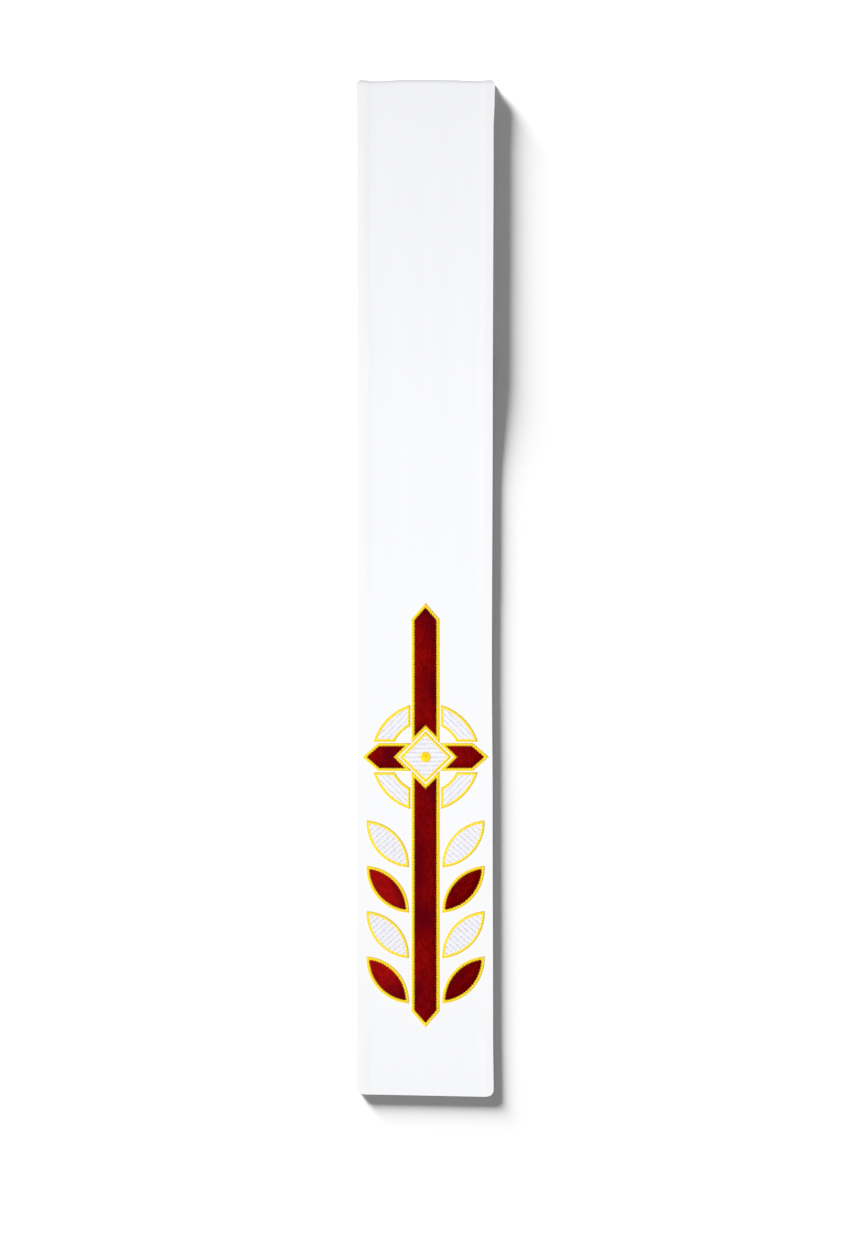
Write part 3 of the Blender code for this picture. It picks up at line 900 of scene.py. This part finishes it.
def raise_rim(mesh, outline):
    """The padded rim of a border: the outline inset in steps, each with its own height."""
    floor = LOW_STACK + MOTIF_SEAT
    corners = [mesh.verts.new((point.x, point.y + CROSSING_Y, floor)) for point in outline]
    middle = mesh.faces.new(corners)
    reached = 0.0
    for step in RIM_PROFILE:
        inset = BORDER * (step.share - reached)
        bmesh.ops.inset_region(mesh, faces=[middle], thickness=inset, use_boundary=True, use_even_offset=True)
        for vert in middle.verts:
            vert.co.z = floor + RIM_HEIGHT * step.height
        reached = step.share
    bmesh.ops.delete(mesh, geom=[middle], context="FACES_ONLY")
    open_edges = [edge for edge in mesh.edges if edge.is_boundary]
    bmesh.ops.bridge_loops(mesh, edges=open_edges)
    bmesh.ops.recalc_face_normals(mesh, faces=mesh.faces)
    return mesh


print("rim:", round(BORDER / MM, 1), "mm wide and", round(RIM_HEIGHT / MM, 2), "mm high")

# %% [markdown]
# ### Satin stitches
# The stitches walk round the rim, and where the outline turns sharply they fan out, as an embroiderer
# lays them. Two in every four are pulled deeper, and their tone is darkened as painted shade, like the
# twist of a cord; the others get lighter tones.

# %% Satin stitches round the rim
SATIN_PITCH = 0.75 * MM
SATIN_WIDTH = 0.9 * MM
SATIN_HEIGHT = 1.22 * MM
SATIN_HEIGHTS = (0.97, 1.02)
SATIN_SLANT = math.radians(24)
SATIN_ASKEW = 0.03
SATIN_REACH = 1.08
CORNER_REACH = 1.3 * MM
LEAST_ACROSS = 0.62
TWIST = 4
DEEP_OF_TWIST = 2
DEEP_HEIGHT = 1.08 * MM
# Deep stitches are lower and get darker tones as painted shade; the raised ones get lighter tones.
DEEP_SHADED_TONES = (0.0, 0.35)
HIGH_LIT_TONES = (0.65, 1.0)


def satin_places(outline, draw):
    """The stitches of a border, walking round the middle of its rim."""
    line = inset_outline(outline, BORDER / 2)
    lengths = [(line[(i + 1) % len(line)] - point).length for i, point in enumerate(line)]
    total = sum(lengths)

    def walk(distance):
        """The place and the direction at a distance round the line."""
        distance %= total
        for i, length in enumerate(lengths):
            if distance <= length:
                ahead = (line[(i + 1) % len(line)] - line[i]).normalized()
                return line[i] + ahead * distance, ahead
            distance -= length
        return line[0], (line[1] - line[0]).normalized()

    lays = []
    count = round(total / SATIN_PITCH)
    for i in range(count):
        distance = total * i / count
        place, ahead = walk(distance)
        near = walk(distance - CORNER_REACH)[1] + walk(distance + CORNER_REACH)[1] + ahead
        way = math.atan2(near.y, near.x) + QUARTER + SATIN_SLANT
        across = abs(math.sin(way - math.atan2(ahead.y, ahead.x)))
        # Two in four sit deeper, with painted shade in their tone.
        deep = i % TWIST < DEEP_OF_TWIST
        lays.append(
            Lay(
                x=place.x,
                y=place.y + CROSSING_Y,
                z=LOW_STACK + 2 * MOTIF_SEAT,
                angle=way + draw.uniform(-SATIN_ASKEW, SATIN_ASKEW),
                half=BORDER / 2 / max(across, LEAST_ACROSS) * SATIN_REACH,
                width=SATIN_WIDTH,
                height=(DEEP_HEIGHT if deep else SATIN_HEIGHT) * draw.uniform(*SATIN_HEIGHTS),
                tone=draw.uniform(*(DEEP_SHADED_TONES if deep else HIGH_LIT_TONES)),
            )
        )
    return lays


print("satin stitches in 100 mm of border:", round(100 * MM / SATIN_PITCH))

# %% Build the borders
BORDER_SEED = 300
borders = {}
for order, piece in enumerate(motif):
    draw = random.Random(BORDER_SEED + order)
    lays = satin_places(piece.outline, draw)
    rim = raise_rim(lay_stitches(lays), piece.outline)
    borders[piece.name] = keep(
        rim,
        f"{piece.name}_edging",
        nodes=[f"{piece.name}_border"],
        crease=STITCH_CREASE,
    )
    print(piece.name, "satin stitches:", len(lays))

# %% [markdown]
# ### The boss
# At the middle of the lozenge sits a small round boss: a ring of short satin stitches round a knot. The
# stitches are the same shape as before, set like the spokes of a wheel, and those of the knot lie side by
# side over its dome.

# %% Spokes and knot of the boss
BOSS_SEED = 7
BOSS_FLOOR = LOW_STACK + MOTIF_SEAT + PAD_HEIGHT
BOSS_PAD = 0.55 * MM
SPOKES = 30
SPOKE_HEIGHT = 0.75 * MM
SPOKE_OVERLAP = 1.1
KNOT_RADIUS = 2.3 * MM
KNOT_HEIGHT = 1.0 * MM
KNOT_ANGLE = math.radians(18)
KNOT_OFFSETS = (-0.8, -0.4, 0.0, 0.4, 0.8)
KNOT_THREAD = KNOT_RADIUS * 0.48
KNOT_DOME = 0.8
SPOKE_START = KNOT_RADIUS * 0.7


def lay_spokes(draw):
    """Short stitches from under the knot to the rim of the boss."""
    middle = (SPOKE_START + BOSS_RADIUS) / 2
    half = (BOSS_RADIUS - SPOKE_START) / 2
    return [
        Lay(
            x=middle * math.cos(angle),
            y=CROSSING_Y + middle * math.sin(angle),
            z=BOSS_FLOOR + BOSS_PAD / 2,
            angle=angle + SATIN_SLANT / 2,
            half=half * SATIN_REACH,
            width=math.tau * middle / SPOKES * SPOKE_OVERLAP,
            height=SPOKE_HEIGHT,
            tone=draw.random(),
        )
        for angle in (math.tau * i / SPOKES for i in range(SPOKES))
    ]


def lay_knot(draw):
    """Threads side by side over the knot, shorter and lower towards its sides."""
    return [
        Lay(
            x=-offset * KNOT_RADIUS * math.sin(KNOT_ANGLE),
            y=CROSSING_Y + offset * KNOT_RADIUS * math.cos(KNOT_ANGLE),
            z=BOSS_FLOOR + BOSS_PAD,
            angle=KNOT_ANGLE,
            half=KNOT_RADIUS * math.sqrt(1 - offset**2),
            width=KNOT_THREAD,
            height=KNOT_HEIGHT * math.sqrt(1 - (offset * KNOT_DOME) ** 2),
            tone=draw.random(),
        )
        for offset in KNOT_OFFSETS
    ]


print("boss:", SPOKES, "spokes and", len(KNOT_OFFSETS), "threads over the knot")

# %% Build the boss
DISC_FOOT = BOSS_RADIUS * 0.96
DISC_TOP = BOSS_RADIUS * 0.8
draw = random.Random(BOSS_SEED)
boss_mesh = lay_stitches(lay_spokes(draw) + lay_knot(draw))
bmesh.ops.create_cone(
    boss_mesh,
    cap_ends=True,
    segments=SPOKES,
    radius1=DISC_FOOT,
    radius2=DISC_TOP,
    depth=BOSS_PAD,
    matrix=Matrix.Translation((0, CROSSING_Y, BOSS_FLOOR + BOSS_PAD / 2)),
)
boss = keep(boss_mesh, "boss_knot", nodes=["boss"], crease=STITCH_CREASE)
print("boss:", len(boss.data.polygons), "faces")


# %% [markdown]
# ## Finishes
# Two effects are shared, so each is a node group with named sockets. The weave reads how far across and
# along the cloth a point lies, so it follows the folds. The thread tone reads where on its stitch a point
# lies: painted shade at the ends, where the thread dives into the cloth, and a tone a little different
# from one stitch to the next.

# %% Helpers for groups and maths
def new_group(name, inputs, outputs):
    """An empty shader group with named sockets: (name, type, value)."""
    group = bpy.data.node_groups.new(name, "ShaderNodeTree")
    for socket, kind, value in inputs:
        made = group.interface.new_socket(socket, in_out="INPUT", socket_type=kind)
        made.default_value = value
    for socket, kind in outputs:
        group.interface.new_socket(socket, in_out="OUTPUT", socket_type=kind)
    return group, group.nodes.new("NodeGroupInput"), group.nodes.new("NodeGroupOutput")


def maths(tree, operation, first, second=None, third=None):
    """A Math node. Each value is a number or an output to link."""
    node = tree.nodes.new("ShaderNodeMath")
    node.operation = operation
    for i, value in enumerate((first, second, third)):
        if isinstance(value, (int, float)):
            node.inputs[i].default_value = value
        elif value is not None:
            tree.links.new(value, node.inputs[i])
    return node.outputs[0]


# %% Helpers for colour and noise
def blend_colour(tree, share, first, second):
    """A colour between two. Each is a colour or an output to link."""
    node = tree.nodes.new("ShaderNodeMix")
    node.data_type = "RGBA"
    tree.links.new(share, node.inputs["Factor"])
    for name, value in (("A", first), ("B", second)):
        socket = next(s for s in node.inputs if s.name == name and s.type == "RGBA")
        if isinstance(value, tuple):
            socket.default_value = (*value, 1.0)
        else:
            tree.links.new(value, socket)
    return next(s for s in node.outputs if s.type == "RGBA")


def stretched_noise(tree, vector, scales, detail):
    """Noise with its own scales across and along a map in metres."""
    mapping = tree.nodes.new("ShaderNodeMapping")
    mapping.inputs["Scale"].default_value = (*scales, 1.0)
    tree.links.new(vector, mapping.inputs["Vector"])
    noise = tree.nodes.new("ShaderNodeTexNoise")
    noise.inputs["Scale"].default_value = 1.0
    noise.inputs["Detail"].default_value = detail
    tree.links.new(mapping.outputs["Vector"], noise.inputs["Vector"])
    return noise.outputs["Fac"]


# %% The weave group
THREADS_PER_METRE = 1600.0
WEAVE_SHARE = 0.5
STREAKS = (430.0, 6.0)
STREAK_DETAIL = 1.0
CLOTH_CLOUDS = (14.0, 9.0)
CLOUD_DETAIL = 2.0


def make_weave():
    """Plain weave with upright streaks: its height, a tone from 0 to 1, and slow unevenness."""
    group, given, out = new_group(
        "weave",
        [
            ("Map", "NodeSocketVector", (0.0, 0.0, 0.0)),
            ("Threads per metre", "NodeSocketFloat", THREADS_PER_METRE),
        ],
        [("Height", "NodeSocketFloat"), ("Streak", "NodeSocketFloat"), ("Cloud", "NodeSocketFloat")],
    )
    split = group.nodes.new("ShaderNodeSeparateXYZ")
    group.links.new(given.outputs["Map"], split.inputs[0])
    turn = maths(group, "MULTIPLY", given.outputs["Threads per metre"], math.pi)
    warp = maths(group, "SINE", maths(group, "MULTIPLY", split.outputs["X"], turn))
    weft = maths(group, "SINE", maths(group, "MULTIPLY", split.outputs["Y"], turn))
    cross = maths(group, "MULTIPLY", warp, weft)
    streak = stretched_noise(group, given.outputs["Map"], STREAKS, STREAK_DETAIL)
    cloud = stretched_noise(group, given.outputs["Map"], CLOTH_CLOUDS, CLOUD_DETAIL)
    height = maths(group, "ADD", maths(group, "MULTIPLY", cross, WEAVE_SHARE), streak)
    group.links.new(height, out.inputs["Height"])
    group.links.new(streak, out.inputs["Streak"])
    group.links.new(cloud, out.inputs["Cloud"])
    return group


weave = make_weave()
print("weave group:", len(weave.nodes), "nodes")

# %% The thread tone group
PLY = 0.45 * MM
USUAL_END = 0.5 * MM
USUAL_SPREAD = 0.5
MIDDLE_TONE = 0.5
THREAD_CLOUDS = (30.0, 20.0)
THREAD_CLOUD_DETAIL = 1.0
CLOUD_START = 0.40
CLOUD_CONTRAST = 4.0
CLOUD_SOFTNESS = 0.2


def make_thread_tone():
    """Where a point lies on its stitch, as a tone: painted shade at the ends, and varied from stitch to
    stitch.
    """
    group, given, out = new_group(
        "thread tone",
        [
            ("Map", "NodeSocketVector", (0.0, 0.0, 0.0)),
            ("Place", "NodeSocketVector", (0.0, 0.0, 0.0)),
            ("End", "NodeSocketFloat", USUAL_END),
            ("Spread", "NodeSocketFloat", USUAL_SPREAD),
        ],
        [
            ("End shade", "NodeSocketFloat"),
            ("Tone", "NodeSocketFloat"),
            ("Ply", "NodeSocketFloat"),
            ("Cloud", "NodeSocketFloat"),
        ],
    )
    split = group.nodes.new("ShaderNodeSeparateXYZ")
    group.links.new(given.outputs["Map"], split.inputs[0])
    from_end = maths(group, "DIVIDE", split.outputs["X"], given.outputs["End"])
    shade = maths(group, "SUBTRACT", 1.0, maths(group, "MINIMUM", from_end, 1.0))
    off_middle = maths(group, "SUBTRACT", split.outputs["Y"], MIDDLE_TONE)
    varied = maths(group, "MULTIPLY", off_middle, given.outputs["Spread"])
    tone = maths(group, "ADD", varied, MIDDLE_TONE)
    ply = maths(group, "SINE", maths(group, "MULTIPLY", split.outputs["X"], math.tau / PLY))
    noise = stretched_noise(group, given.outputs["Place"], THREAD_CLOUDS, THREAD_CLOUD_DETAIL)
    rising = maths(group, "MULTIPLY", maths(group, "SUBTRACT", noise, CLOUD_START), CLOUD_CONTRAST)
    capped = maths(group, "SMOOTH_MIN", rising, 1.0, CLOUD_SOFTNESS)
    cloud = maths(group, "MAXIMUM", capped, 0.0)
    group.links.new(shade, out.inputs["End shade"])
    group.links.new(tone, out.inputs["Tone"])
    group.links.new(ply, out.inputs["Ply"])
    group.links.new(cloud, out.inputs["Cloud"])
    return group


thread_tone = make_thread_tone()
print("thread tone group:", len(thread_tone.nodes), "nodes")


# %% Helpers for materials
def new_material(name, roughness, specular, sheen=0.0):
    """A material whose Principled shader has its constant values set on its own sockets."""
    material = bpy.data.materials.new(name)
    material.use_nodes = True
    shader = material.node_tree.nodes["Principled BSDF"]
    shader.inputs["Roughness"].default_value = roughness
    shader.inputs["Specular IOR Level"].default_value = specular
    shader.inputs["Sheen Weight"].default_value = sheen
    return material, material.node_tree, shader


def uv_output(tree, name):
    """The piece's own UV map, in metres on cloth."""
    node = tree.nodes.new("ShaderNodeUVMap")
    node.uv_map = name
    return node.outputs["UV"]


def add_bump(tree, shader, height, distance, strength):
    """A bump from a height into the shader's normal."""
    node = tree.nodes.new("ShaderNodeBump")
    node.inputs["Distance"].default_value = distance
    node.inputs["Strength"].default_value = strength
    tree.links.new(height, node.inputs["Height"])
    tree.links.new(node.outputs["Normal"], shader.inputs["Normal"])


# %% [markdown]
# ### White cloth
# The cloth is a fine plain weave, almost white, with faint upright streaks where the warp is uneven. Its
# surface is matt with a little sheen at grazing angles. The weave is only a bump: at half a millimetre it
# is too fine to model.

# %% The finish of the cloth
CLOTH_DARK = (0.845, 0.850, 0.864)
CLOTH_LIGHT = (0.888, 0.893, 0.906)
CLOTH_CLOUDED = (0.862, 0.867, 0.880)
WEAVE_DEPTH = 0.05 * MM
WEAVE_STRENGTH = 0.6


def white_cloth_finish():
    """Fine white cloth with upright streaks."""
    material, tree, shader = new_material("white cloth", roughness=0.85, specular=0.2, sheen=0.08)
    woven = tree.nodes.new("ShaderNodeGroup")
    woven.node_tree = weave
    tree.links.new(uv_output(tree, CLOTH_UV), woven.inputs["Map"])
    base = blend_colour(tree, woven.outputs["Streak"], CLOTH_DARK, CLOTH_LIGHT)
    tinted = blend_colour(tree, woven.outputs["Cloud"], base, CLOTH_CLOUDED)
    tree.links.new(tinted, shader.inputs["Base Color"])
    add_bump(tree, shader, woven.outputs["Height"], WEAVE_DEPTH, WEAVE_STRENGTH)
    return material


cloth_finish = white_cloth_finish()
front_cloth.data.materials.append(cloth_finish)
hidden_cloth.data.materials.append(cloth_finish)
print("finish of both halves:", cloth_finish.name)

# %% [markdown]
# ### Threads
# Embroidery thread is glossier than cloth, because its fibres lie straight. Every thread gets painted
# shade towards the ends of each stitch. Burgundy is deep, with painted sheen and shade in its tone. The
# white is cool, and its dips get a lilac grey painted shade, which draws the rows of small dashes. Gold
# is a bright yellow that varies from stitch to stitch, with painted shade on its deeper stitches.

# %% How a thread's finish is put together
PLY_DEPTH = 0.02 * MM
PLY_STRENGTH = 0.5


def thread_finish(name, end_shade_colour, plain, light, patch, roughness, specular, end, end_strength, spread, cloudy):
    """A thread's finish: painted shade at the ends, a tone for each stitch, and slow patches of a
    neighbouring colour.
    """
    material, tree, shader = new_material(name, roughness, specular)
    tone = tree.nodes.new("ShaderNodeGroup")
    tone.node_tree = thread_tone
    tone.inputs["End"].default_value = end
    tone.inputs["Spread"].default_value = spread
    tree.links.new(uv_output(tree, THREAD_UV), tone.inputs["Map"])
    coordinates = tree.nodes.new("ShaderNodeTexCoord")
    tree.links.new(coordinates.outputs["Object"], tone.inputs["Place"])
    cloud = maths(tree, "MULTIPLY", tone.outputs["Cloud"], cloudy)
    body = blend_colour(tree, cloud, blend_colour(tree, tone.outputs["Tone"], plain, light), patch)
    shade = maths(tree, "MULTIPLY", tone.outputs["End shade"], end_strength)
    tree.links.new(blend_colour(tree, shade, body, end_shade_colour), shader.inputs["Base Color"])
    add_bump(tree, shader, tone.outputs["Ply"], PLY_DEPTH, PLY_STRENGTH)
    return material


# %% The three threads
# In each thread, the first colour is the painted shade at the ends of its stitches.
thread_finishes = {
    "burgundy": thread_finish(
        "burgundy thread",
        end_shade_colour=(0.040, 0.000, 0.000),
        plain=(0.125, 0.000, 0.000),
        light=(0.440, 0.006, 0.006),
        patch=(0.085, 0.000, 0.006),
        roughness=0.7,
        specular=0.0,
        end=0.42 * MM,
        end_strength=0.6,
        spread=1.0,
        cloudy=0.7,
    ),
    "white": thread_finish(
        "white thread",
        end_shade_colour=(0.42, 0.39, 0.48),
        plain=(0.83, 0.83, 0.88),
        light=(0.88, 0.88, 0.92),
        patch=(0.42, 0.39, 0.48),
        roughness=0.6,
        specular=0.2,
        end=0.62 * MM,
        end_strength=0.8,
        spread=0.6,
        cloudy=0.03,
    ),
    "gold": thread_finish(
        "gold thread",
        end_shade_colour=(0.78, 0.46, 0.000),
        plain=(1.00, 0.65, 0.000),
        light=(1.00, 1.00, 0.050),
        patch=(0.90, 0.50, 0.000),
        roughness=0.45,
        specular=0.12,
        end=0.5 * MM,
        end_strength=0.4,
        spread=1.0,
        cloudy=0.10,
    ),
}
boss.data.materials.append(thread_finishes["gold"])
for piece in motif:
    grounds[piece.name].data.materials.append(thread_finishes[piece.thread])
    borders[piece.name].data.materials.append(thread_finishes["gold"])
print("thread finishes:", sorted(thread_finishes))

# %% [markdown]
# ## How the pieces lie
# The stitched pieces lie on the half that shows, and its face rests on the hidden half. That half rests
# in turn on the stretch of the first one that is turned under. Here the stitched pieces are gathered in
# one list.

stitched = [*grounds.values(), *borders.values(), boss]
print("pieces on the half that shows:", len(stitched))

# %% [markdown]
# ## The surface and the light
# The picture is a plain one from straight above, on white. Such shop pictures get their shadow drawn in
# afterwards. Here three lights share that work. Two soft ones, high at the left and overhead, show the
# cloth and reach only the stole. A low one from the upper left reaches only the surface, and draws the
# long soft shadow along the right edge and the hem.

# %% The surface
SURFACE_SIZE = 60.0
SURFACE_DROP = 0.2 * MM
MOTTLE_SCALES = (3.0, 3.0)
MOTTLE_DETAIL = 2.0
SURFACE_DARK = (0.93, 0.93, 0.93)
SURFACE_LIGHT = (0.95, 0.95, 0.95)
floor_mesh = bmesh.new()
bmesh.ops.create_grid(floor_mesh, x_segments=1, y_segments=1, size=SURFACE_SIZE / 2)
bmesh.ops.translate(floor_mesh, verts=floor_mesh.verts, vec=(0, 0, -SURFACE_DROP))
floor_data = bpy.data.meshes.new("surface")
floor_mesh.to_mesh(floor_data)
floor_mesh.free()
floor = bpy.data.objects.new("surface", floor_data)
scene.collection.objects.link(floor)
floor_material, floor_tree, floor_shader = new_material("pale surface", roughness=0.9, specular=0.1)
coordinates = floor_tree.nodes.new("ShaderNodeTexCoord")
mottle = stretched_noise(floor_tree, coordinates.outputs["Object"], MOTTLE_SCALES, MOTTLE_DETAIL)
floor_tree.links.new(
    blend_colour(floor_tree, mottle, SURFACE_DARK, SURFACE_LIGHT),
    floor_shader.inputs["Base Color"],
)
floor_data.materials.append(floor_material)
print("surface:", round(SURFACE_SIZE), "m wide")

# %% Helpers for lights
LIGHT_DISTANCE = 3.0


def point_at(thing, target):
    """Turns a light so that it shines on a point."""
    thing.rotation_euler = (Vector(target) - thing.location).to_track_quat("-Z", "Y").to_euler()


def add_light(name, kind, location, target, energy, **settings):
    """A light that shines on a target."""
    data = bpy.data.lights.new(name, kind)
    data.energy = energy
    for key, value in settings.items():
        setattr(data, key, value)
    light = bpy.data.objects.new(name, data)
    light.location = location
    scene.collection.objects.link(light)
    point_at(light, target)
    return light


def shine_only_on(light, name, pieces):
    """Lets a light reach only the named pieces."""
    group = bpy.data.collections.new(name)
    for piece in pieces:
        group.objects.link(piece)
    light.light_linking.receiver_collection = group


def light_place(side, up, elevation):
    """A place beside the stole, at an elevation over the surface."""
    flat = Vector((side, up)).normalized() * math.cos(elevation)
    return Vector((flat.x, flat.y, math.sin(elevation))) * LIGHT_DISTANCE


# %% The lights
MIDDLE = (0, 0, 0)
shadow_light = add_light(
    "shadow_light",
    "SUN",
    location=light_place(side=-18, up=23, elevation=math.radians(11.5)),
    target=MIDDLE,
    energy=13.5,
    angle=math.radians(16),
)
front_light = add_light(
    "front_light",
    "SUN",
    location=light_place(side=-10, up=-4, elevation=math.radians(63)),
    target=MIDDLE,
    energy=2.22,
    angle=math.radians(35),
)
overhead_light = add_light(
    "overhead_light",
    "AREA",
    location=(0, -0.12, 1.2),
    target=(0, -0.12, 0),
    energy=3.65,
    shape="DISK",
    size=0.5,
)
stole = [front_cloth, hidden_cloth, *stitched]
shine_only_on(shadow_light, "surface_only", [floor])
shine_only_on(front_light, "stole_in_front_light", stole)
shine_only_on(overhead_light, "stole_in_overhead_light", stole)
print("pieces in the front light:", len(stole))

# %% The sky
SKY_STRENGTH = 0.235
world = bpy.data.worlds.new("studio")
world.use_nodes = True
world.node_tree.nodes["Background"].inputs["Color"].default_value = (1, 1, 1, 1)
world.node_tree.nodes["Background"].inputs["Strength"].default_value = SKY_STRENGTH
scene.world = world
scene.view_settings.view_transform = "Standard"
print("view transform:", scene.view_settings.view_transform)

# %% [markdown]
# ## The camera
# The picture looks straight down, from so far away that no side of the stack shows. Its scale is known
# from the stole itself: the length that shows, in metres and in pixels, gives the size of the whole frame,
# and with the lens it gives the camera's height. The stole isn't quite in the middle of the frame.

# %% Camera
PHOTO_HEIGHT_PX = 1250
SHOWN_PX = 1017
CENTRE_RIGHT_PX = -0.5
CENTRE_BELOW_PX = 36.5
PIXEL = SHOWN_LENGTH / SHOWN_PX
FRAME_HEIGHT = PHOTO_HEIGHT_PX * SHOWN_LENGTH / SHOWN_PX
LENS = 100.0
SENSOR = 36.0
FARTHEST_SEEN = 50
camera_data = bpy.data.cameras.new("camera")
camera_data.lens = LENS
camera_data.sensor_width = SENSOR
camera_data.clip_end = FARTHEST_SEEN
camera = bpy.data.objects.new("camera", camera_data)
camera.location = (
    CENTRE_RIGHT_PX * PIXEL,
    -CENTRE_BELOW_PX * PIXEL,
    FRAME_HEIGHT * LENS / SENSOR + LOW_STACK,
)
scene.collection.objects.link(camera)
scene.camera = camera
print("camera height:", round(camera.location.z, 3), "m")
